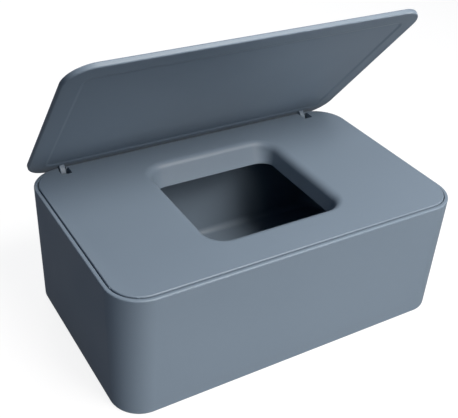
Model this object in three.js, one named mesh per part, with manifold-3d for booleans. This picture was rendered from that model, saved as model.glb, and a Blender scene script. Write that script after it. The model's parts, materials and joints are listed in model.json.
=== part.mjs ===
import * as THREE from 'three';
import { mergeVertices } from 'three/addons/utils/BufferGeometryUtils.js';
import Module from 'manifold-3d';

// A rectangular dispenser box for wipes: an open body, a cover plate with a flared mouth
// that drops into its rim, and a flat lid on two cranked arms.
// Millimetres, +Z up. The origin is the middle of the foot, the front faces -Y.

// Body
const LENGTH = 190;
const DEPTH = 118;
const RIM_HEIGHT = 68;
const FOOT_INSET = 1.2;
const RIM_CORNER = 17.4;
const FOOT_CORNER = 15.3;
const WALL = 1.9;
const FLOOR = 2;
const RIM_ROUND = 1.2;
const RIM_LIP_ROUND = 0.4;
const FOOT_ROUND = 0.8;
const INNER_FILLET = 4;

// Ledges in the body's corners, which the cover's skirt stands on
const LEDGE_WIDTH = 2.2;
const LEDGE_THICKNESS = 1.6;
const LEDGE_RUN_X = 13;
const LEDGE_RUN_Y = 19;

// Cover plate and its skirt
const SEAM = 0.4;
const COVER_PROUD = 0.6;
const COVER_THICKNESS = 2;
const COVER_EDGE_ROUND = 0.6;
const SKIRT_DEPTH = 5;
const SKIRT_THICKNESS = 1.4;
const SEAT_GAP = 0.3;

// Mouth: the flare where it leaves the flat of the cover, and its drafts
const MOUTH_LENGTH = 83;
const MOUTH_DEPTH = 80.6;
const MOUTH_CENTRE_Y = 1.4;
const MOUTH_CORNER = 14.4;
const MOUTH_DROP = 11.6;
const MOUTH_WALL = 2;
const SIDE_FLARE_RADIUS = 4.4;
const SIDE_DRAFT = 6;
const END_FLARE_RADIUS = 4.5;
const END_DRAFT = 25.5;

// Lid, a little smaller than the body
const LID_END_INSET = 1;
const LID_SIDE_INSET = 1.2;
const LID_CORNER = 14;
const LID_THICKNESS = 2.8;
const LID_EDGE_ROUND = 0.8;
const LID_REST_GAP = 0.7;
const FIELD_DEPTH = 0.5;
const FIELD_INSET = 8.5;
const FIELD_SLOPE = 3;
const LID_OPEN_ANGLE = 50;

// Hinge, placed from the body's back and ends
const HINGE_INSET = 4.4;
const HINGE_DROP = 6.5;
const ARM_END_INSET = 19.6;
const ARM_WIDTH = 3;
const ARM_THICKNESS = 3.3;
const ARM_BOSS_RADIUS = 2.2;
const PIN_RADIUS = 1.1;
const PIN_CLEARANCE = 0.3;
const NOTCH_REACH = 4.6;
const NOTCH_FRONT_GAP = 0.5;
const NOTCH_SIDE_GAP = 1.3;
const NOTCH_FOOT_GAP = 0.3;
const EAR_THICKNESS = 2;
const EAR_REACH = 2.9;
const EAR_INSET = 0.1;

// Facets
const CORNER_STEPS = 10;
const ROUND_STEPS = 4;
const PIN_STEPS = 20;
const CUT = 5;

const coverTop = RIM_HEIGHT + COVER_PROUD;
const coverUnderside = coverTop - COVER_THICKNESS;
const skirtFoot = coverUnderside - SKIRT_DEPTH;
const hingeY = DEPTH / 2 - HINGE_INSET;
const hingeZ = RIM_HEIGHT - HINGE_DROP;
const armX = LENGTH / 2 - ARM_END_INSET;
const lidUnderside = coverTop + LID_REST_GAP;
const lidTop = lidUnderside + LID_THICKNESS;
const notchHalf = ARM_WIDTH / 2 + NOTCH_SIDE_GAP;
const notchFrontY = hingeY - NOTCH_REACH;

const radians = THREE.MathUtils.degToRad;
const wasm = await Module();
wasm.setup();

function toSolid(geometry) {
  const bare = geometry.clone();
  bare.deleteAttribute('normal');
  bare.deleteAttribute('uv');
  const merged = mergeVertices(bare, 1e-5);
  return new wasm.Manifold(new wasm.Mesh({
    numProp: 3,
    vertProperties: new Float32Array(merged.attributes.position.array),
    triVerts: new Uint32Array(merged.index.array),
  }));
}

function toGeometry(solid) {
  const mesh = solid.getMesh();
  const geometry = new THREE.BufferGeometry();
  geometry.setAttribute('position', new THREE.BufferAttribute(mesh.vertProperties, 3));
  geometry.setIndex(new THREE.BufferAttribute(mesh.triVerts, 1));
  geometry.computeVertexNormals();
  return geometry;
}

// Rounded rectangle, counter-clockwise, whose corners are quarter ellipses
function outline(halfX, halfY, radiusX, radiusY = radiusX, centreY = 0) {
  const corners = [[1, 1], [-1, 1], [-1, -1], [1, -1]];
  return corners.flatMap(([sideX, sideY], corner) => {
    const x = sideX * (halfX - radiusX);
    const y = sideY * (halfY - radiusY) + centreY;
    const start = corner * Math.PI / 2;
    const arc = new THREE.EllipseCurve(x, y, radiusX, radiusY, start, start + Math.PI / 2);
    return arc.getPoints(CORNER_STEPS);
  });
}

// Skin through a stack of outlines of equal count, closed by a flat cap at each end
function loft(rings) {
  const count = rings[0].points.length;
  const positions = rings.flatMap(({ points, z }) => points.flatMap((p) => [p.x, p.y, z]));
  const cap = THREE.ShapeUtils.triangulateShape(rings[0].points, []);
  const last = (rings.length - 1) * count;
  const index = cap.flatMap(([a, b, c]) => [a, c, b]);
  for (let ring = 0; ring < rings.length - 1; ring += 1) {
    for (let i = 0; i < count; i += 1) {
      const a = ring * count + i;
      const b = ring * count + (i + 1) % count;
      index.push(a, b, b + count, a, b + count, a + count);
    }
  }
  index.push(...cap.flatMap((face) => face.map((corner) => last + corner)));
  const geometry = new THREE.BufferGeometry();
  geometry.setAttribute('position', new THREE.Float32BufferAttribute(positions, 3));
  geometry.setIndex(index);
  return geometry;
}

function block(lowX, highX, lowY, highY, lowZ, highZ) {
  const box = new THREE.BoxGeometry(highX - lowX, highY - lowY, highZ - lowZ);
  return box.translate((lowX + highX) / 2, (lowY + highY) / 2, (lowZ + highZ) / 2);
}

function rodAlongX(radius, length, x, y, z) {
  const rod = new THREE.CylinderGeometry(radius, radius, length, PIN_STEPS);
  return rod.rotateZ(Math.PI / 2).translate(x, y, z);
}

// Quarter round as steps of how far in and how far along it has got, each 0 to 1
function quarterRound(steps = ROUND_STEPS) {
  return Array.from({ length: steps + 1 }, (_, i) => {
    const angle = i / steps * Math.PI / 2;
    return { inward: 1 - Math.cos(angle), along: Math.sin(angle) };
  });
}

// Outline of the body's outer wall at a height, moved in by an inset
function bodyRing(z, inset) {
  const share = 1 - z / RIM_HEIGHT;
  const taper = FOOT_INSET * share + inset;
  const corner = RIM_CORNER + (FOOT_CORNER - RIM_CORNER) * share - inset;
  return { points: outline(LENGTH / 2 - taper, DEPTH / 2 - taper, corner), z };
}

function makeBody() {
  const foot = quarterRound().reverse()
    .map(({ inward, along }) => bodyRing(FOOT_ROUND * (1 - along), FOOT_ROUND * inward));
  const rimOuter = quarterRound()
    .map(({ inward, along }) => bodyRing(RIM_HEIGHT - RIM_ROUND * (1 - along), RIM_ROUND * inward));
  const rimInner = quarterRound().reverse()
    .map(({ inward, along }) => bodyRing(
      RIM_HEIGHT - RIM_LIP_ROUND * (1 - along), WALL - RIM_LIP_ROUND * inward));
  const fillet = quarterRound()
    .map(({ inward, along }) => bodyRing(
      FLOOR + INNER_FILLET * (1 - along), WALL + INNER_FILLET * inward));
  let body = toSolid(loft([...foot, ...rimOuter, ...rimInner, ...fillet]));

  for (const sideX of [-1, 1]) {
    for (const sideY of [-1, 1]) body = body.add(makeLedge(sideX, sideY));
    body = body.subtract(makeRimNotch(sideX));
  }
  return body;
}

// Shelf across one inner corner, one moulding with the wall
function makeLedge(sideX, sideY) {
  const top = skirtFoot - SEAT_GAP;
  const low = top - LEDGE_THICKNESS;
  const outer = toSolid(loft([bodyRing(low, WALL / 2), bodyRing(top, WALL / 2)]));
  const inset = WALL + LEDGE_WIDTH;
  const inner = toSolid(loft([bodyRing(low - CUT, inset), bodyRing(top + CUT, inset)]));
  const x = [LENGTH / 2 - LEDGE_RUN_X, LENGTH / 2].map((value) => value * sideX);
  const y = [DEPTH / 2 - LEDGE_RUN_Y, DEPTH / 2].map((value) => value * sideY);
  const corner = toSolid(block(
    Math.min(...x), Math.max(...x), Math.min(...y), Math.max(...y), low, top));
  return outer.subtract(inner).intersect(corner);
}

// Slot in the back rim that a lid arm swings down into
function makeRimNotch(side) {
  const x = side * armX;
  const low = hingeZ - ARM_BOSS_RADIUS - NOTCH_FOOT_GAP;
  return toSolid(block(
    x - notchHalf, x + notchHalf, hingeY, DEPTH / 2 + CUT, low, RIM_HEIGHT + CUT));
}

// Outline of the cover moved in by an inset from its own edge
function coverRing(z, inset = 0) {
  const edge = WALL + SEAM + inset;
  return { points: outline(LENGTH / 2 - edge, DEPTH / 2 - edge, RIM_CORNER - edge), z };
}

// How far a flared wall has come in at a depth: an arc first, then the straight draft
function flareInset(depth, radius, draft) {
  const arcDepth = radius * (1 - Math.sin(draft));
  if (depth < arcDepth) return Math.sqrt(radius ** 2 - (radius - depth) ** 2);
  return radius * Math.cos(draft) + (depth - arcDepth) * Math.tan(draft);
}

// Outline of the mouth at a depth under the cover's top, grown outwards by a wall
function mouthRing(depth, grow = 0) {
  const insetX = flareInset(depth, SIDE_FLARE_RADIUS, radians(SIDE_DRAFT)) - grow;
  const insetY = flareInset(depth, END_FLARE_RADIUS, radians(END_DRAFT)) - grow;
  const points = outline(
    MOUTH_LENGTH / 2 - insetX, MOUTH_DEPTH / 2 - insetY,
    MOUTH_CORNER - insetX, MOUTH_CORNER - insetY, MOUTH_CENTRE_Y);
  return { points, z: coverTop - depth };
}

function makeMouthPassage() {
  const flareDepth = Math.max(SIDE_FLARE_RADIUS, END_FLARE_RADIUS);
  const flare = quarterRound(2 * ROUND_STEPS)
    .map(({ inward }) => mouthRing(flareDepth * inward)).reverse();
  const lowest = mouthRing(MOUTH_DROP);
  const below = { points: lowest.points, z: lowest.z - CUT };
  const above = { points: mouthRing(0).points, z: coverTop + CUT };
  return toSolid(loft([below, lowest, ...flare, above]));
}

function makeMouthWall() {
  const depths = [MOUTH_DROP, END_FLARE_RADIUS, END_FLARE_RADIUS / 2, COVER_THICKNESS, COVER_THICKNESS / 2];
  return toSolid(loft(depths.map((depth) => mouthRing(depth, MOUTH_WALL))));
}

// Ear under the cover beside a notch, for the socket of a lid pin, kept within the cover's outline
function makeEar(x) {
  const low = hingeZ - EAR_REACH;
  const high = coverUnderside + COVER_THICKNESS / 2;
  const envelope = toSolid(loft([coverRing(low, EAR_INSET), coverRing(high, EAR_INSET)]));
  const plate = toSolid(block(
    x - EAR_THICKNESS / 2, x + EAR_THICKNESS / 2, hingeY - EAR_REACH, DEPTH / 2, low, high));
  return plate.intersect(envelope);
}

function makeCover() {
  const edge = quarterRound()
    .map(({ inward, along }) => coverRing(
      coverTop - COVER_EDGE_ROUND * (1 - along), COVER_EDGE_ROUND * inward));
  let cover = toSolid(loft([coverRing(skirtFoot), ...edge]));
  const hollow = [coverRing(skirtFoot - CUT, SKIRT_THICKNESS), coverRing(coverUnderside, SKIRT_THICKNESS)];
  cover = cover.subtract(toSolid(loft(hollow))).add(makeMouthWall()).subtract(makeMouthPassage());

  for (const side of [-1, 1]) {
    const x = side * armX;
    const earOffset = notchHalf + EAR_THICKNESS / 2;
    cover = cover.add(makeEar(x - earOffset)).add(makeEar(x + earOffset));
    cover = cover.subtract(toSolid(block(
      x - notchHalf, x + notchHalf, notchFrontY, DEPTH / 2, skirtFoot - CUT, coverTop + CUT)));
    cover = cover.subtract(toSolid(rodAlongX(
      PIN_RADIUS + PIN_CLEARANCE, 2 * (notchHalf + EAR_THICKNESS + CUT / 2), x, hingeY, hingeZ)));
  }
  return cover;
}

// Side view of an arm with the lid shut, about its pin: a straight root under the lid that passes
// the cover's notch, then a crank back to a round boss
function armShape() {
  const root = lidUnderside + LID_THICKNESS / 2 - hingeZ;
  const neck = coverTop - hingeZ;
  const front = NOTCH_FRONT_GAP - NOTCH_REACH;
  const back = front + ARM_THICKNESS;
  const boss = ARM_BOSS_RADIUS;
  const meet = radians(145);
  const shape = new THREE.Shape();
  shape.moveTo(back, root);
  shape.lineTo(front, root);
  shape.lineTo(front, neck);
  shape.quadraticCurveTo(front, neck * 0.6, boss * Math.cos(meet), boss * Math.sin(meet));
  shape.absarc(0, 0, boss, meet, 2 * Math.PI, false);
  shape.quadraticCurveTo(boss, neck * 0.7, back, neck);
  return shape;
}

// An arm and its pin, about the hinge axis
function makeArm(side) {
  const arm = new THREE.ExtrudeGeometry(armShape(), {
    depth: ARM_WIDTH, bevelEnabled: false, curveSegments: 2 * ROUND_STEPS,
  });
  const stand = new THREE.Matrix4().makeBasis(
    new THREE.Vector3(0, 1, 0), new THREE.Vector3(0, 0, 1), new THREE.Vector3(1, 0, 0));
  arm.applyMatrix4(stand).translate(side * armX - ARM_WIDTH / 2, 0, 0);
  const pin = rodAlongX(PIN_RADIUS, 2 * (notchHalf + EAR_THICKNESS), side * armX, 0, 0);
  return toSolid(arm).add(toSolid(pin));
}

// Outline of the shut lid at a height, about the hinge axis, moved in by an inset
function lidRing(z, inset) {
  const halfX = LENGTH / 2 - LID_END_INSET - inset;
  const halfY = DEPTH / 2 - LID_SIDE_INSET - inset;
  const points = outline(halfX, halfY, LID_CORNER - inset, undefined, -hingeY);
  return { points, z: z - hingeZ };
}

// The shut lid about the hinge axis, with a shallow field let into its underside
function makeLid() {
  const under = quarterRound().reverse()
    .map(({ inward, along }) => lidRing(
      lidUnderside + LID_EDGE_ROUND * (1 - along), LID_EDGE_ROUND * inward));
  const over = quarterRound()
    .map(({ inward, along }) => lidRing(
      lidTop - LID_EDGE_ROUND * (1 - along), LID_EDGE_ROUND * inward));
  const field = [
    lidRing(lidUnderside - CUT, FIELD_INSET),
    lidRing(lidUnderside, FIELD_INSET),
    lidRing(lidUnderside + FIELD_DEPTH, FIELD_INSET + FIELD_SLOPE),
  ];
  return toSolid(loft([...under, ...over]))
    .subtract(toSolid(loft(field)))
    .add(makeArm(-1))
    .add(makeArm(1));
}

function moulded(name, solid) {
  const material = new THREE.MeshStandardMaterial({ color: 0x7c8794, roughness: 0.5, metalness: 0 });
  const mesh = new THREE.Mesh(toGeometry(solid), material);
  mesh.name = name;
  return mesh;
}

const box = new THREE.Group();
box.add(moulded('body', makeBody()));
box.add(moulded('cover', makeCover()));

const lidHinge = new THREE.Group();
lidHinge.position.set(0, hingeY, hingeZ);
lidHinge.rotation.x = -radians(LID_OPEN_ANGLE);
lidHinge.add(moulded('lid', makeLid()));
box.add(lidHinge);

export default box;
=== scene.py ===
"""Looks of a wipes dispenser box: an open body, a cover plate with a flared mouth, and a flat lid
on two cranked arms.

Metres, +X along the length, -Y to the front, +Z up, as in the CAD part. Each moulding is worked out
as one fine surface in its place and stands for the CAD node of the same name.
"""

import json
import math

import bpy
import numpy as np
from bpy.props import FloatProperty, FloatVectorProperty, PointerProperty
from mathutils import Matrix, Vector


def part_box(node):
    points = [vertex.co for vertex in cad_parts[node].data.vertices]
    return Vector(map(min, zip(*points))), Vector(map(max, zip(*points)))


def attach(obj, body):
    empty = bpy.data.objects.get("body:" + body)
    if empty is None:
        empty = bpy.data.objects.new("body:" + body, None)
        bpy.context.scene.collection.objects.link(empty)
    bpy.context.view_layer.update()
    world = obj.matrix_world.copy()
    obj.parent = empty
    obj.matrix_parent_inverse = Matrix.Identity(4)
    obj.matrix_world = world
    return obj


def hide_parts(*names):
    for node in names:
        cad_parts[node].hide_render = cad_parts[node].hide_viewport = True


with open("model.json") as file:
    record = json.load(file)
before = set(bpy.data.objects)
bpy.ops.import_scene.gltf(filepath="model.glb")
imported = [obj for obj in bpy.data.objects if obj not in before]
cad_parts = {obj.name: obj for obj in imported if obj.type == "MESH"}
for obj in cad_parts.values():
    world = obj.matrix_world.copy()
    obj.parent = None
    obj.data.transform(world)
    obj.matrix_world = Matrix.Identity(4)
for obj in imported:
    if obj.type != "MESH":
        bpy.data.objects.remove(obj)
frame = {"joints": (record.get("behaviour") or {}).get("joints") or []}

bl_info = {
    "name": "Wipes dispenser box",
    "version": (1, 0, 0),
    "blender": (4, 5, 0),
    "location": "3D View > Sidebar > Wipes box",
    "description": "Makes a lidded wipes box in satin moulded plastic, with its studio",
    "category": "Add Mesh",
}

MM = 0.001

# Steps of a rounded corner, of an edge's quarter round, and of a full turn of a pin or a nub.
CORNER_STEPS = 24
ROUND_STEPS = 8
PIN_STEPS = 48
NUB_STEPS = 32

# How far a cutter reaches past what it cuts, and the corner radius of one that cuts square.
CUT = 5 * MM
SQUARE_CORNER = 0.1 * MM

HINGE = frame["joints"][0]
HINGE_Y, HINGE_Z = HINGE["pos_m"][1:]
HINGE_POINT = np.array([HINGE_Y, HINGE_Z])
OPEN_ANGLE = -math.radians(HINGE["range_deg"][0])
BODY_LOW, BODY_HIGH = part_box("body")
COVER_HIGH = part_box("cover")[1]

# Slope of the mouth's wall below its flare, at its two ends and at front and back.
SIDE_DRAFT = math.radians(6)
END_DRAFT = math.radians(25.5)

# Where the nubs stand round each of the cover's corners, and the rounding of their ends.
NUB_ANGLES = math.radians(8), math.radians(62)
NUB_EDGE = 0.1 * MM

# The arc of an arm's boss in degrees. Each crank's control point stands at a share of the height
# from the hinge to the cover's top.
BOSS_ARC = 145, 360
FRONT_CRANK, BACK_CRANK = 0.6, 0.7

# The rounding of a pin's ends.
PIN_EDGE = 0.2 * MM

# Edges that turn by more than this stay crisp.
CREASE = math.radians(35)

# The plastic's refraction, its roughness in the two kinds of patch, and the noise between them.
PLASTIC_IOR = 1.49
ROUGHNESS_LOW, ROUGHNESS_HIGH = 0.43, 0.5
NOISE_LOW, NOISE_HIGH = 0.3, 0.7

# The colour sockets of a Mix node.
MIX_A, MIX_B, MIX_RESULT = 6, 7, 2
WHITE = (1, 1, 1, 1)

# The floor's sheet, how much white lies over its shading, and how bright that white is.
FLOOR_HALF, FLOOR_CORNER, FLOOR_THICKNESS = 8.0, 2.0, 0.01
FLOOR_WHITE_SHARE, FLOOR_GLOW = 0.8, 1.08

# The share of the white room that a gloss shows.
ROOM_IN_GLOSS = 0.22

# Each lamp's place, its target, its width and height, and the spread of its beam in degrees.
BOX_MIDDLE = (0, 0, 0.05)
LAMPS = {
    "key_softbox": ((0.145, -0.283, 0.56), BOX_MIDDLE, (0.36, 0.3), 180),
    "front_softbox": ((0.035, -0.496, 0.386), BOX_MIDDLE, (0.3, 0.2), 180),
    "low_softbox": ((0.0, -0.35, 0.035), (0, 0, -0.012), (0.42, 0.05), 60),
    "lid_softbox": ((0.34, -0.2, 0.08), (0.085, -0.02, 0.145), (0.1, 0.1), 24),
    "back_softbox": ((0, 0.75, 0.45), BOX_MIDDLE, (0.4, 0.3), 180),
}

# The camera, as fitted to the photograph's edges. Lens and sensor are in mm.
CAMERA_PLACE = (-0.19263, -0.29145, 0.28404)
CAMERA_DIRECTION = (0.44701, 0.70622, -0.54904)
CAMERA_ROLL = math.radians(3.547)
CAMERA_LENS, CAMERA_SENSOR = 63.4, 36
CAMERA_NEAR, CAMERA_FAR = 0.01, 50


def linear(colour):
    """Linear RGB of an sRGB hex colour: c / 12.92 for c up to 0.04045, and above that
    ((c + 0.055) / 1.055) ^ 2.4."""
    c = np.array([int(colour[i : i + 2], 16) for i in (1, 3, 5)]) / 255
    return tuple(np.where(c <= 0.04045, c / 12.92, ((c + 0.055) / 1.055) ** 2.4))


def size(name, description, default):
    """A length in metres, not negative."""
    return FloatProperty(
        name=name, description=description, default=default, min=0, unit="LENGTH", precision=5
    )


def paint(name, description, default):
    """A colour, given as sRGB hex and held as linear RGB."""
    default = linear(default)
    return FloatVectorProperty(
        name=name, description=description, default=default, min=0, max=1, subtype="COLOR"
    )


def power(name, description, default):
    """A lamp's power in watts, not negative."""
    return FloatProperty(name=name, description=description, default=default, min=0, unit="POWER")


class WIPES_PG_body(bpy.types.PropertyGroup):
    length: size("Length", "Outer length at the rim", BODY_HIGH.x - BODY_LOW.x)
    depth: size("Depth", "Outer depth at the rim, front to back", BODY_HIGH.y - BODY_LOW.y)
    height: size("Rim height", "Height of the rim over the foot", BODY_HIGH.z)
    foot_inset: size("Foot inset", "How far the walls taper in at the foot", 1.2 * MM)
    rim_corner: size("Rim corner", "Corner radius at the rim", 17.4 * MM)
    foot_corner: size("Foot corner", "Corner radius at the foot", 15.3 * MM)
    wall: size("Wall", "Thickness of the walls", 1.9 * MM)
    floor: size("Floor", "Thickness of the floor", 2 * MM)
    rim_round: size("Rim round", "Radius of the rim's outer edge", 0.8 * MM)
    lip_round: size("Lip round", "Radius of the rim's inner edge", 0.4 * MM)
    foot_round: size("Foot round", "Radius of the edge at the foot", 0.8 * MM)
    inner_fillet: size("Inner fillet", "Fillet between the walls and the floor inside", 4 * MM)
    ledge_width: size("Ledge width", "Reach of the inner corner ledges", 2.2 * MM)
    ledge_thickness: size("Ledge thickness", "Thickness of the inner corner ledges", 1.6 * MM)
    ledge_run_x: size("Ledge length", "From the box's end to the end of a ledge", 13 * MM)
    ledge_run_y: size("Ledge depth", "From the box's side to the end of a ledge", 19 * MM)


class WIPES_PG_cover(bpy.types.PropertyGroup):
    seam: size("Seam", "Gap between the cover and the rim", 0.4 * MM)
    thickness: size("Thickness", "Thickness of the plate", 2 * MM)
    edge_round: size("Edge round", "Radius of the plate's upper edge", 0.6 * MM)
    skirt_depth: size("Skirt depth", "How far the skirt reaches below the plate", 5 * MM)
    skirt_thickness: size("Skirt thickness", "Thickness of the skirt", 1.4 * MM)
    seat_gap: size("Seat gap", "Gap between the skirt and the ledges", 0.3 * MM)
    nub_length: size("Nub length", "Length of the corner nubs that centre the cover", 1.3 * MM)
    nub_reach: size("Nub reach", "How far the corner nubs reach into the seam", 0.3 * MM)
    mouth_length: size("Mouth length", "Length of the mouth where its flare starts", 83 * MM)
    mouth_depth: size("Mouth depth", "Depth of the mouth where its flare starts", 80.6 * MM)
    mouth_centre: size("Mouth centre", "How far the mouth's middle is behind the plate's", 1.4 * MM)
    mouth_corner: size("Mouth corner", "Corner radius where the flare starts", 14.4 * MM)
    mouth_drop: size("Mouth drop", "How far the mouth reaches below the plate's top", 11.6 * MM)
    mouth_wall: size("Mouth wall", "Thickness of the mouth's wall", 2 * MM)
    mouth_lip: size("Mouth lip", "Radius of the mouth's lower edges", 0.5 * MM)
    side_flare: size("Side flare", "Radius of the flare at the mouth's two ends", 4.4 * MM)
    end_flare: size("Front and back flare", "Radius of the flare at front and back", 4.5 * MM)


class WIPES_PG_lid(bpy.types.PropertyGroup):
    end_inset: size("End inset", "How far the lid's ends stay within the body's", 1 * MM)
    side_inset: size("Side inset", "How far the lid's sides stay within the body's", 1.2 * MM)
    corner: size("Corner", "Corner radius", 14 * MM)
    thickness: size("Thickness", "Thickness at the border", 2.8 * MM)
    edge_round: size("Edge round", "Radius of both edges", 0.8 * MM)
    rest_gap: size("Rest gap", "Gap over the cover when shut", 0.7 * MM)
    field_depth: size("Field depth", "How far the field is let into the underside", 0.5 * MM)
    field_inset: size("Field inset", "Width of the border round the field", 8.5 * MM)
    field_slope: size("Field slope", "Width of the soft slope down into the field", 2.2 * MM)
    arm_end_inset: size("Arm place", "From the body's end to the middle of an arm", 19.6 * MM)
    arm_width: size("Arm width", "Width of an arm along the hinge", 3 * MM)
    arm_thickness: size("Arm thickness", "Thickness of an arm at its root", 3.3 * MM)
    arm_round: size("Arm round", "Radius of an arm's edges", 0.45 * MM)
    boss_radius: size("Boss radius", "Radius of an arm's round end", 2.2 * MM)
    pin_radius: size("Pin radius", "Radius of a hinge pin", 1.1 * MM)
    pin_clearance: size("Pin clearance", "Clearance of a pin in its socket", 0.3 * MM)
    notch_reach: size("Notch reach", "From the pins to the front of the notches", 4.6 * MM)
    notch_front_gap: size("Notch front gap", "Gap in front of an arm", 0.5 * MM)
    notch_side_gap: size("Notch side gap", "Gap beside an arm", 1.3 * MM)
    slot_side_gap: size("Slot side gap", "Gap beside an arm in the rim", 0.6 * MM)
    notch_foot_gap: size("Notch foot gap", "Gap below an arm's boss in the rim", 0.3 * MM)
    notch_round: size("Notch round", "Radius of the notches' inner corners", 0.4 * MM)
    ear_thickness: size("Ear thickness", "Thickness of a socket ear", 2 * MM)
    ear_reach: size("Ear reach", "Reach of an ear round its pin", 2.9 * MM)


class WIPES_PG_finish(bpy.types.PropertyGroup):
    colour: paint("Plastic", "Colour of the moulded plastic", "#73818f")
    shade: paint("Plastic, deeper", "Colour in the faintly deeper patches", "#707e8c")
    grain: size("Grain", "Width of the tool's grain", 0.9 * MM)
    grain_depth: size("Grain depth", "Depth of the tool's grain", 0.004 * MM)
    patch: size("Patch", "Width of the faint patches of colour and gloss", 45 * MM)


class WIPES_PG_studio(bpy.types.PropertyGroup):
    floor: paint("Floor", "Colour of the floor as the camera sees it", "#f4f5f6")
    floor_bounce: paint("Floor bounce", "Colour of the floor as the object is lit by it", "#36434f")
    ambient: paint("Ambient", "Colour of the room's light", "#2d4560")
    lamps: paint("Lamps", "Colour of every lamp", "#fffaf4")
    key_power: power("Key power", "Power of the lamp high at the right front", 4.4)
    front_power: power("Front power", "Power of the lamp half high at the front", 1)
    low_power: power("Low power", "Power of the lamp near the floor at the front", 0.11)
    lid_power: power("Lid power", "Power of the lamp that reaches under the lid's tip", 0.015)
    back_power: power("Back power", "Power of the lamp behind the lid", 3)


class WIPES_PG_box(bpy.types.PropertyGroup):
    body: PointerProperty(type=WIPES_PG_body, name="Body", description="Sizes of the body")
    cover: PointerProperty(type=WIPES_PG_cover, name="Cover", description="Sizes of the cover")
    lid: PointerProperty(type=WIPES_PG_lid, name="Lid", description="Sizes of lid and hinge")
    finish: PointerProperty(type=WIPES_PG_finish, name="Finish", description="The moulded plastic")
    studio: PointerProperty(type=WIPES_PG_studio, name="Studio", description="Floor and lights")


def quarter_round(steps=ROUND_STEPS):
    """Share inwards, 1 - cos t, and share along, sin t, of a quarter round, for t from 0 to 90
    degrees."""
    turn = np.linspace(0, math.pi / 2, steps + 1)
    return 1 - np.cos(turn), np.sin(turn)


def rounded_rectangle(half_x, half_y, radius_x, radius_y):
    """Closed outline (rows, points, 2), one row per size given. Corner k of four has its centre at
    (+-(half_x - radius_x), +-(half_y - radius_y)), and runs through radius_x cos t, radius_y sin t
    for t from k to k + 1 quarter turns."""
    sizes = map(np.atleast_1d, (half_x, half_y, radius_x, radius_y))
    half_x, half_y, radius_x, radius_y = (
        column[:, None, None] for column in np.broadcast_arrays(*sizes)
    )
    turn = (np.arange(4)[:, None] + np.linspace(0, 1, CORNER_STEPS + 1)) * math.pi / 2
    side_x = np.array([1, -1, -1, 1])[:, None]
    side_y = np.array([1, 1, -1, -1])[:, None]
    x = side_x * (half_x - radius_x) + radius_x * np.cos(turn)
    y = side_y * (half_y - radius_y) + radius_y * np.sin(turn)
    return np.stack([x, y], axis=-1).reshape(len(x), -1, 2)


def stacked(outlines, z):
    """Rings (rows, points, 3): each outline at its own height z."""
    height = np.broadcast_to(np.atleast_1d(z)[:, None, None], (*outlines.shape[:2], 1))
    return np.concatenate([outlines, height], axis=-1)


def prism(profile, axis, low, high, edge=0.0):
    """Rings of a profile carried along an axis from low to high. Its end edges have a quarter
    round: edge (1 - sin t) inwards along the profile's normal at edge (1 - cos t) from the end.
    The profile's two coordinates are the axes that follow the given one: y z, z x or x y."""
    level, inset = np.array([low, high]), np.zeros(2)
    if edge:
        inward, along = quarter_round()
        level = np.concatenate([low + edge * inward, (high - edge * inward)[::-1]])
        inset = np.concatenate([edge * (1 - along), (edge * (1 - along))[::-1]])
    tangent = np.roll(profile, -1, axis=0) - np.roll(profile, 1, axis=0)
    normal = np.stack([tangent[:, 1], -tangent[:, 0]], axis=1)
    normal /= np.linalg.norm(normal, axis=1, keepdims=True)
    rings = stacked(profile - inset[:, None, None] * normal, level)
    return np.roll(rings, {"x": 1, "y": -1, "z": 0}[axis], axis=-1)


def circle(radius, centre):
    """Outline radius cos t, radius sin t about a centre."""
    turn = np.linspace(0, 2 * math.pi, PIN_STEPS, endpoint=False)
    return np.stack([np.cos(turn), np.sin(turn)], axis=1) * radius + centre


def bend(start, control, end):
    """Curve (1 - t)^2 start + 2 t (1 - t) control + t^2 end for t from 0 to 1."""
    t = np.linspace(0, 1, 2 * ROUND_STEPS + 1)[:, None]
    start, control, end = map(np.array, (start, control, end))
    return (1 - t) ** 2 * start + 2 * t * (1 - t) * control + t**2 * end


def skinned(name, rings, ends="capped"):
    """New object whose skin is the quads between neighbouring rings, each ring closed on itself.
    Its first and last ring are capped with a flat face each, or joined to each other."""
    index = np.arange(rings.shape[0] * rings.shape[1]).reshape(rings.shape[:2])
    looped = np.vstack([index, index[:1]]) if ends == "joined" else index
    lower, upper = looped[:-1], looped[1:]
    next_lower, next_upper = np.roll(lower, -1, axis=1), np.roll(upper, -1, axis=1)
    quads = np.stack([lower, next_lower, next_upper, upper], axis=-1)
    faces = quads.reshape(-1, 4).tolist()
    if ends == "capped":
        faces += [index[0, ::-1].tolist(), index[-1].tolist()]
    mesh = bpy.data.meshes.new(name)
    mesh.from_pydata(rings.reshape(-1, 3).tolist(), [], faces)
    piece = bpy.data.objects.new(name, mesh)
    bpy.context.scene.collection.objects.link(piece)
    return piece


def combine(piece, operation, *others):
    """Unites piece with the others, or takes them out of it, and removes them."""
    for other in others:
        modifier = piece.modifiers.new(operation, "BOOLEAN")
        modifier.operation, modifier.solver, modifier.object = operation, "EXACT", other
        evaluated = piece.evaluated_get(bpy.context.evaluated_depsgraph_get())
        mesh = bpy.data.meshes.new_from_object(evaluated)
        piece.modifiers.clear()
        piece.data = mesh
        bpy.data.objects.remove(other)
    if not piece.data.polygons:
        raise RuntimeError(f"{piece.name} came out empty")


def finish_piece(piece, node, body, material):
    """Smooth faces with crisp edges and flat faces kept flat, in the plastic. The piece stands
    for its CAD node and rides on its CAD body."""
    piece.data.shade_smooth()
    piece.data.set_sharp_from_angle(angle=CREASE)
    weighted = piece.modifiers.new("flat_faces_stay_flat", "WEIGHTED_NORMAL")
    weighted.weight, weighted.keep_sharp = 100, True
    piece.data.materials.clear()
    piece.data.materials.append(material)
    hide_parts(node)
    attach(piece, body)


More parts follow.
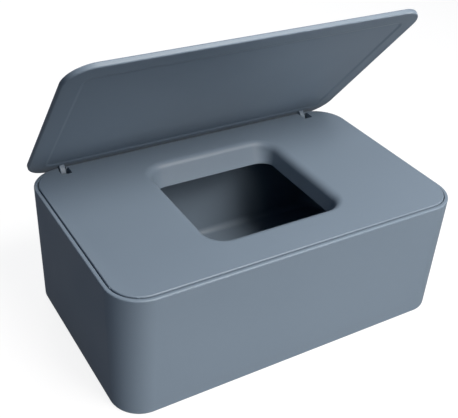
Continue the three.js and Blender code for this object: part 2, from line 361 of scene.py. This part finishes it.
def body_rings(sizes, z, inset):
    """Outlines of the body's wall at heights z, moved in by insets. Inset and corner radius change
    in straight proportion from the rim down to the foot."""
    share = 1 - z / sizes.height
    taper = sizes.foot_inset * share + inset
    corner = sizes.rim_corner + (sizes.foot_corner - sizes.rim_corner) * share - inset
    half_x, half_y = sizes.length / 2 - taper, sizes.depth / 2 - taper
    return stacked(rounded_rectangle(half_x, half_y, corner, corner), z)


def body_shell(sizes):
    """One profile round the box: foot, outer wall, rim, inner wall, fillet and inner floor."""
    inward, along = quarter_round()
    back_in, back_along = inward[::-1], along[::-1]
    z = np.concatenate([
        sizes.foot_round * (1 - back_along),
        sizes.height - sizes.rim_round * (1 - along),
        sizes.height - sizes.lip_round * (1 - back_along),
        sizes.floor + sizes.inner_fillet * (1 - along),
    ])
    inset = np.concatenate([
        sizes.foot_round * back_in,
        sizes.rim_round * inward,
        sizes.wall - sizes.lip_round * back_in,
        sizes.wall + sizes.inner_fillet * inward,
    ])
    return skinned("dispenser_body", body_rings(sizes, z, inset))


def corner_ledges(sizes, top):
    """A shelf round the inner wall, rectangular in section, less all but its four corners."""
    low = top - sizes.ledge_thickness
    z = np.array([low, top, top, low])
    reach = sizes.wall + sizes.ledge_width
    inset = np.array([sizes.wall / 2, sizes.wall / 2, reach, reach])
    shelf = skinned("corner_ledges", body_rings(sizes, z, inset), ends="joined")
    clear_x = sizes.length / 2 - sizes.ledge_run_x
    clear_y = sizes.depth / 2 - sizes.ledge_run_y
    for half_x, half_y in ((clear_x, sizes.depth), (sizes.length, clear_y)):
        outline = rounded_rectangle(half_x, half_y, SQUARE_CORNER, SQUARE_CORNER)[0]
        combine(shelf, "DIFFERENCE", skinned("middle", prism(outline, "z", low - CUT, top + CUT)))
    return shelf


def arm_places(box):
    """Middle of the left and the right arm along the length."""
    place = box.body.length / 2 - box.lid.arm_end_inset
    return -place, place


def notch_half_width(lid):
    """Half the width of a notch in the cover: half an arm and the gap beside it."""
    return lid.arm_width / 2 + lid.notch_side_gap


class WIPES_OT_body(bpy.types.Operator):
    """Make the body, the open tray with its rim slots and corner ledges"""

    bl_idname = "wipes_box.body"
    bl_label = "Body"

    def execute(self, context):
        box = context.scene.wipes_box
        sizes, lid = box.body, box.lid
        skirt_foot = COVER_HIGH.z - box.cover.thickness - box.cover.skirt_depth
        body = body_shell(sizes)
        combine(body, "UNION", corner_ledges(sizes, skirt_foot - box.cover.seat_gap))
        half_width = lid.arm_width / 2 + lid.slot_side_gap
        low = HINGE_Z - lid.boss_radius - lid.notch_foot_gap
        high = sizes.height + CUT
        corner = lid.notch_round
        slot = rounded_rectangle((high - low) / 2, half_width, corner, corner)[0]
        for x in arm_places(box):
            outline = slot + np.array([(high + low) / 2, x])
            cutter = prism(outline, "y", HINGE_Y, sizes.depth / 2 + CUT)
            combine(body, "DIFFERENCE", skinned("rim_slot", cutter))
        finish_piece(body, "body", "box", moulded_plastic(box.finish))
        return {"FINISHED"}


def cover_rings(box, z, inset):
    """Outlines of the cover at heights z, moved in from its own edge by insets."""
    edge = box.body.wall + box.cover.seam + inset
    corner = box.body.rim_corner - edge
    half_x, half_y = box.body.length / 2 - edge, box.body.depth / 2 - edge
    return stacked(rounded_rectangle(half_x, half_y, corner, corner), z)


def flare_inset(depth, radius, draft):
    """How far a flared wall has come in at a depth: sqrt(r^2 - (r - depth)^2) on its arc, and below
    the arc r cos(draft) + (depth - arc) tan(draft)."""
    arc = radius * (1 - math.sin(draft))
    curved = np.sqrt(np.clip(radius**2 - (radius - depth) ** 2, 0, None))
    straight = radius * math.cos(draft) + (depth - arc) * math.tan(draft)
    return np.where(depth < arc, curved, straight)


def mouth_rings(sizes, depth, grow):
    """Outlines of the mouth at depths below the cover's top, grown outwards. Their corners are
    elliptical where the flare differs between the ends and the front and back."""
    in_x = flare_inset(depth, sizes.side_flare, SIDE_DRAFT) - grow
    in_y = flare_inset(depth, sizes.end_flare, END_DRAFT) - grow
    outlines = rounded_rectangle(
        sizes.mouth_length / 2 - in_x,
        sizes.mouth_depth / 2 - in_y,
        sizes.mouth_corner - in_x,
        sizes.mouth_corner - in_y,
    )
    return stacked(outlines + np.array([0, sizes.mouth_centre]), COVER_HIGH.z - depth)


def cover_shell(box):
    """One profile round the cover, closed on itself: up the skirt, over the edge and the plate,
    down the mouth's flare, round its lip, up behind it, and back under the plate to the skirt's
    foot."""
    sizes = box.cover
    inward, along = quarter_round()
    underside = COVER_HIGH.z - sizes.thickness
    skirt_foot = underside - sizes.skirt_depth
    edge_z = np.concatenate([[skirt_foot], COVER_HIGH.z - sizes.edge_round * (1 - along)])
    edge_inset = np.concatenate([[0.0], sizes.edge_round * inward])
    flare = sizes.end_flare * quarter_round(3 * ROUND_STEPS)[0]
    lip = sizes.mouth_drop - sizes.mouth_lip * (1 - along)
    depth = np.concatenate([flare, lip, lip[::-1], [sizes.thickness]])
    grow = np.concatenate([
        np.zeros_like(flare),
        sizes.mouth_lip * inward,
        sizes.mouth_wall - sizes.mouth_lip * inward[::-1],
        [sizes.mouth_wall],
    ])
    inner_z = np.array([underside, skirt_foot])
    inner_inset = np.full(2, sizes.skirt_thickness)
    rings = np.concatenate([
        cover_rings(box, edge_z, edge_inset),
        mouth_rings(sizes, depth, grow),
        cover_rings(box, inner_z, inner_inset),
    ])
    return skinned("dispenser_cover", rings, ends="joined")


def socket_ear(box, x):
    """Ear for a pin socket: a plate that is square at the back and round at its lower front, where
    it runs through hinge + reach (cos t, sin t) for t from 180 to 270 degrees."""
    lid = box.lid
    back = box.body.depth / 2 - box.body.wall - 2 * box.cover.seam
    top = COVER_HIGH.z - box.cover.thickness / 2
    turn = np.linspace(math.pi, 1.5 * math.pi, ROUND_STEPS + 1)
    curve = HINGE_POINT + lid.ear_reach * np.stack([np.cos(turn), np.sin(turn)], axis=1)
    ends = np.array([[back, HINGE_Z - lid.ear_reach], [back, top], [HINGE_Y - lid.ear_reach, top]])
    half = lid.ear_thickness / 2
    return skinned("socket_ear", prism(np.concatenate([curve, ends]), "x", x - half, x + half))


def centring_nub(box, side_x, side_y, angle):
    """Half-round rib up the cover's edge, which reaches into the seam at an angle round a corner.
    It stands at the corner's centre + radius (cos angle, sin angle), and its outline is
    reach cos t outwards and length / 2 sin t across."""
    sizes = box.cover
    edge = box.body.wall + sizes.seam
    radius = box.body.rim_corner - edge
    outward = np.array([math.cos(angle) * side_x, math.sin(angle) * side_y])
    centre = np.array([
        side_x * (box.body.length / 2 - box.body.rim_corner),
        side_y * (box.body.depth / 2 - box.body.rim_corner),
    ])
    turn = np.linspace(0, 2 * math.pi, NUB_STEPS, endpoint=False)[:, None]
    across = np.array([-outward[1], outward[0]])
    reach = sizes.nub_reach * np.cos(turn) * outward
    width = sizes.nub_length / 2 * np.sin(turn) * across
    outline = centre + radius * outward + reach + width
    low, high = COVER_HIGH.z - sizes.thickness, COVER_HIGH.z - sizes.edge_round / 2
    return skinned("centring_nub", prism(outline, "z", low, high, NUB_EDGE))


class WIPES_OT_cover(bpy.types.Operator):
    """Make the cover plate with its flared mouth, skirt, notches and pin sockets"""

    bl_idname = "wipes_box.cover"
    bl_label = "Cover"

    def execute(self, context):
        box = context.scene.wipes_box
        lid = box.lid
        cover = cover_shell(box)
        half_width = notch_half_width(lid)
        to_ear = half_width + lid.ear_thickness / 2
        reach = half_width + lid.ear_thickness + CUT / 2
        front, back = HINGE_Y - lid.notch_reach, box.body.depth / 2 + CUT
        low, high = COVER_HIGH.z - 3 * CUT, COVER_HIGH.z + CUT
        corner = lid.notch_round
        notch = rounded_rectangle(half_width, (back - front) / 2, corner, corner)[0]
        socket = circle(lid.pin_radius + lid.pin_clearance, HINGE_POINT)
        for x in arm_places(box):
            combine(cover, "UNION", socket_ear(box, x - to_ear), socket_ear(box, x + to_ear))
            outline = notch + np.array([x, (back + front) / 2])
            combine(
                cover,
                "DIFFERENCE",
                skinned("notch", prism(outline, "z", low, high)),
                skinned("socket", prism(socket, "x", x - reach, x + reach)),
            )
        for side_x in (-1, 1):
            for side_y in (-1, 1):
                for angle in NUB_ANGLES:
                    combine(cover, "UNION", centring_nub(box, side_x, side_y, angle))
        finish_piece(cover, "cover", "box", moulded_plastic(box.finish))
        return {"FINISHED"}


def lid_rings(box, z, inset):
    """Outlines of the shut lid at heights z, moved in from its edge by insets."""
    sizes = box.lid
    corner = sizes.corner - inset
    half_x = box.body.length / 2 - sizes.end_inset - inset
    half_y = box.body.depth / 2 - sizes.side_inset - inset
    return stacked(rounded_rectangle(half_x, half_y, corner, corner), z)


def lid_plate(box):
    """One profile round the lid: the field let into its underside, the slope
    0.5 depth (1 + cos pi t) down to the border, the border, the two rounded edges and the top."""
    sizes = box.lid
    inward, along = quarter_round()
    under_z = COVER_HIGH.z + sizes.rest_gap
    top_z = under_z + sizes.thickness
    share = np.linspace(0, 1, 2 * ROUND_STEPS + 1)
    z = np.concatenate([
        under_z + sizes.field_depth * 0.5 * (1 + np.cos(math.pi * share)),
        under_z + sizes.edge_round * (1 - along[::-1]),
        top_z - sizes.edge_round * (1 - along),
    ])
    inset = np.concatenate([
        sizes.field_inset + sizes.field_slope * (1 - share),
        sizes.edge_round * inward[::-1],
        sizes.edge_round * inward,
    ])
    return skinned("dispenser_lid", lid_rings(box, z, inset))


def lid_arm(box, x):
    """Arm of the shut lid in side view: straight through the cover's notch, then cranked back to
    a round boss on the pin. The two cranks are bends and the boss is an arc."""
    lid = box.lid
    root = COVER_HIGH.z + lid.rest_gap + lid.thickness / 2 - HINGE_Z
    neck = COVER_HIGH.z - HINGE_Z
    front = lid.notch_front_gap - lid.notch_reach
    back = front + lid.arm_thickness
    turn = np.radians(np.linspace(*BOSS_ARC, 4 * ROUND_STEPS + 1))
    boss = lid.boss_radius * np.stack([np.cos(turn), np.sin(turn)], axis=1)
    profile = np.concatenate([
        [(back, root), (front, root)],
        bend((front, neck), (front, neck * FRONT_CRANK), boss[0])[:-1],
        boss,
        bend(boss[-1], (lid.boss_radius, neck * BACK_CRANK), (back, neck))[1:],
    ])
    half = lid.arm_width / 2
    rings = prism(profile + HINGE_POINT, "x", x - half, x + half, lid.arm_round)
    return skinned("lid_arm", rings)


class WIPES_OT_lid(bpy.types.Operator):
    """Make the lid with its two arms and pins, turned open about the hinge"""

    bl_idname = "wipes_box.lid"
    bl_label = "Lid"

    def execute(self, context):
        box = context.scene.wipes_box
        sizes = box.lid
        lid = lid_plate(box)
        reach = notch_half_width(sizes) + sizes.ear_thickness
        outline = circle(sizes.pin_radius, HINGE_POINT)
        for x in arm_places(box):
            pin = skinned("pin", prism(outline, "x", x - reach, x + reach, PIN_EDGE))
            combine(lid, "UNION", lid_arm(box, x), pin)
        hinge = Vector((0, HINGE_Y, HINGE_Z))
        turn = Matrix.Rotation(-OPEN_ANGLE, 4, "X")
        lid.data.transform(Matrix.Translation(hinge) @ turn @ Matrix.Translation(-hinge))
        finish_piece(lid, "lid", "lid", moulded_plastic(box.finish))
        return {"FINISHED"}


def node(tree, kind, inputs=None, **settings):
    """Adds a node with its settings, and gives each named input a value or a link from a socket."""
    made = tree.nodes.new(kind)
    for name, value in settings.items():
        setattr(made, name, value)
    for name, value in (inputs or {}).items():
        if isinstance(value, bpy.types.NodeSocket):
            tree.links.new(value, made.inputs[name])
        else:
            made.inputs[name].default_value = value
    return made


def moulded_plastic(finish):
    """Polypropylene, injection moulded in a finely eroded steel tool. The grain gives the eye a
    soft satin sheen without a mirror image, and the flow of the melt gives faint broad patches."""
    name = "polypropylene_satin_moulded"
    if name in bpy.data.materials:
        return bpy.data.materials[name]
    material = bpy.data.materials.new(name)
    material.use_nodes = True
    tree = material.node_tree
    tree.nodes.clear()
    place = node(tree, "ShaderNodeTexCoord").outputs["Object"]
    patchy = {"Vector": place, "Scale": 1 / finish.patch, "Detail": 2.0}
    patches = node(tree, "ShaderNodeTexNoise", patchy).outputs["Fac"]
    shades = {MIX_A: (*finish.shade, 1), MIX_B: (*finish.colour, 1), "Factor": patches}
    colour = node(tree, "ShaderNodeMix", shades, data_type="RGBA")
    gloss = {
        "Value": patches,
        "From Min": NOISE_LOW,
        "From Max": NOISE_HIGH,
        "To Min": ROUGHNESS_LOW,
        "To Max": ROUGHNESS_HIGH,
    }
    roughness = node(tree, "ShaderNodeMapRange", gloss)
    # The real grain is about 0.1 mm wide. It is drawn as wide as a pixel needs and kept shallow.
    grainy = {"Vector": place, "Scale": 1 / finish.grain, "Detail": 3.0}
    grain = node(tree, "ShaderNodeTexNoise", grainy).outputs["Fac"]
    relief = {"Height": grain, "Distance": finish.grain_depth, "Strength": 1.0}
    bump = node(tree, "ShaderNodeBump", relief)
    plastic = {
        "Base Color": colour.outputs[MIX_RESULT],
        "Roughness": roughness.outputs["Result"],
        "Normal": bump.outputs["Normal"],
        "IOR": PLASTIC_IOR,
        "Specular IOR Level": 0.5,
    }
    shader = node(tree, "ShaderNodeBsdfPrincipled", plastic)
    node(tree, "ShaderNodeOutputMaterial", {"Surface": shader.outputs["BSDF"]})
    return material


def seen_directly(tree):
    """1 for what the camera or a clear part shows, a share for what a gloss shows, 0 for what
    lights the object: max(camera, transmission, ROOM_IN_GLOSS glossy)."""
    path = node(tree, "ShaderNodeLightPath").outputs
    seen = {0: path["Is Camera Ray"], 1: path["Is Transmission Ray"]}
    direct = node(tree, "ShaderNodeMath", seen, operation="MAXIMUM").outputs[0]
    glossy = {0: path["Is Glossy Ray"], 1: ROOM_IN_GLOSS}
    in_gloss = node(tree, "ShaderNodeMath", glossy, operation="MULTIPLY").outputs[0]
    both = {0: direct, 1: in_gloss}
    return node(tree, "ShaderNodeMath", both, operation="MAXIMUM").outputs[0]


def paper_floor(studio):
    """Matte photographer's paper. Most of its own shading is hidden under white, so the floor
    looks white and keeps a faint shadow. What it throws back on the object is a darker grey."""
    material = bpy.data.materials.new("paper_matte_white")
    material.use_nodes = True
    tree = material.node_tree
    tree.nodes.clear()
    shown = seen_directly(tree)
    paper = node(tree, "ShaderNodeBsdfDiffuse", {"Color": (*studio.floor, 1)})
    white = node(tree, "ShaderNodeEmission", {"Color": WHITE, "Strength": FLOOR_GLOW})
    layers = {0: FLOOR_WHITE_SHARE, 1: paper.outputs[0], 2: white.outputs[0]}
    seen = node(tree, "ShaderNodeMixShader", layers)
    bounce = node(tree, "ShaderNodeBsdfDiffuse", {"Color": (*studio.floor_bounce, 1)})
    sides = {0: shown, 1: bounce.outputs[0], 2: seen.outputs[0]}
    both = node(tree, "ShaderNodeMixShader", sides)
    node(tree, "ShaderNodeOutputMaterial", {"Surface": both.outputs[0]})
    return material


def room_light(studio):
    """White for what the camera sees, and the room's dim light for the object."""
    world = bpy.data.worlds.new("studio_room")
    world.use_nodes = True
    tree = world.node_tree
    tree.nodes.clear()
    shades = {"Factor": seen_directly(tree), MIX_A: (*studio.ambient, 1), MIX_B: WHITE}
    colour = node(tree, "ShaderNodeMix", shades, data_type="RGBA").outputs[MIX_RESULT]
    background = node(tree, "ShaderNodeBackground", {"Color": colour, "Strength": 1.0})
    node(tree, "ShaderNodeOutputWorld", {"Surface": background.outputs[0]})
    return world


def softbox(name, place, target, extent, spread, watts, colour):
    """Rectangular area light that faces its target. It lights the scene and stays out of sight."""
    light = bpy.data.lights.new(name, "AREA")
    light.shape = "RECTANGLE"
    light.size, light.size_y = extent
    light.spread = math.radians(spread)
    light.energy, light.color = watts, colour
    lamp = bpy.data.objects.new(name, light)
    lamp.location = place
    lamp.rotation_euler = (Vector(target) - Vector(place)).to_track_quat("-Z", "Y").to_euler()
    lamp.visible_camera = False
    bpy.context.scene.collection.objects.link(lamp)


def photo_camera():
    """Camera at the photograph's place: along its direction, then rolled about it."""
    camera = bpy.data.cameras.new("photo_camera")
    camera.sensor_width, camera.lens = CAMERA_SENSOR, CAMERA_LENS
    camera.clip_start, camera.clip_end = CAMERA_NEAR, CAMERA_FAR
    placed = bpy.data.objects.new("photo_camera", camera)
    level = Vector(CAMERA_DIRECTION).to_track_quat("-Z", "Y").to_matrix()
    rolled = level @ Matrix.Rotation(CAMERA_ROLL, 3, "Z")
    placed.matrix_world = Matrix.Translation(CAMERA_PLACE) @ rolled.to_4x4()
    bpy.context.scene.collection.objects.link(placed)
    return placed


class WIPES_OT_studio(bpy.types.Operator):
    """Set the stage: floor, room light, softboxes and camera"""

    bl_idname = "wipes_box.studio"
    bl_label = "Studio"

    def execute(self, context):
        studio = context.scene.wipes_box.studio
        outline = rounded_rectangle(FLOOR_HALF, FLOOR_HALF, FLOOR_CORNER, FLOOR_CORNER)[0]
        floor = skinned("studio_floor", prism(outline, "z", -FLOOR_THICKNESS, 0.0))
        floor.data.materials.append(paper_floor(studio))
        powers = {
            "key_softbox": studio.key_power,
            "front_softbox": studio.front_power,
            "low_softbox": studio.low_power,
            "lid_softbox": studio.lid_power,
            "back_softbox": studio.back_power,
        }
        for name, watts in powers.items():
            softbox(name, *LAMPS[name], watts, studio.lamps)
        context.scene.world = room_light(studio)
        context.scene.view_settings.view_transform = "Standard"
        context.scene.camera = photo_camera()
        return {"FINISHED"}


MAKERS = (WIPES_OT_body, WIPES_OT_cover, WIPES_OT_lid, WIPES_OT_studio)


class WIPES_PT_panel(bpy.types.Panel):
    """Lists what the add-on makes"""

    bl_idname = "WIPES_PT_panel"
    bl_label = "Wipes box"
    bl_space_type = "VIEW_3D"
    bl_region_type = "UI"
    bl_category = "Wipes box"

    def draw(self, context):
        for maker in MAKERS:
            self.layout.operator(maker.bl_idname)


CLASSES = (
    WIPES_PG_body,
    WIPES_PG_cover,
    WIPES_PG_lid,
    WIPES_PG_finish,
    WIPES_PG_studio,
    WIPES_PG_box,
    *MAKERS,
    WIPES_PT_panel,
)


def register():
    for cls in CLASSES:
        bpy.utils.register_class(cls)
    bpy.types.Scene.wipes_box = PointerProperty(
        type=WIPES_PG_box, name="Wipes box", description="The whole box"
    )


def unregister():
    del bpy.types.Scene.wipes_box
    for cls in reversed(CLASSES):
        bpy.utils.unregister_class(cls)


def main():
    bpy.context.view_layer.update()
    register()
    bpy.ops.wipes_box.body()
    bpy.ops.wipes_box.cover()
    bpy.ops.wipes_box.lid()
    bpy.ops.wipes_box.studio()


if __name__ == "__main__":
    main()
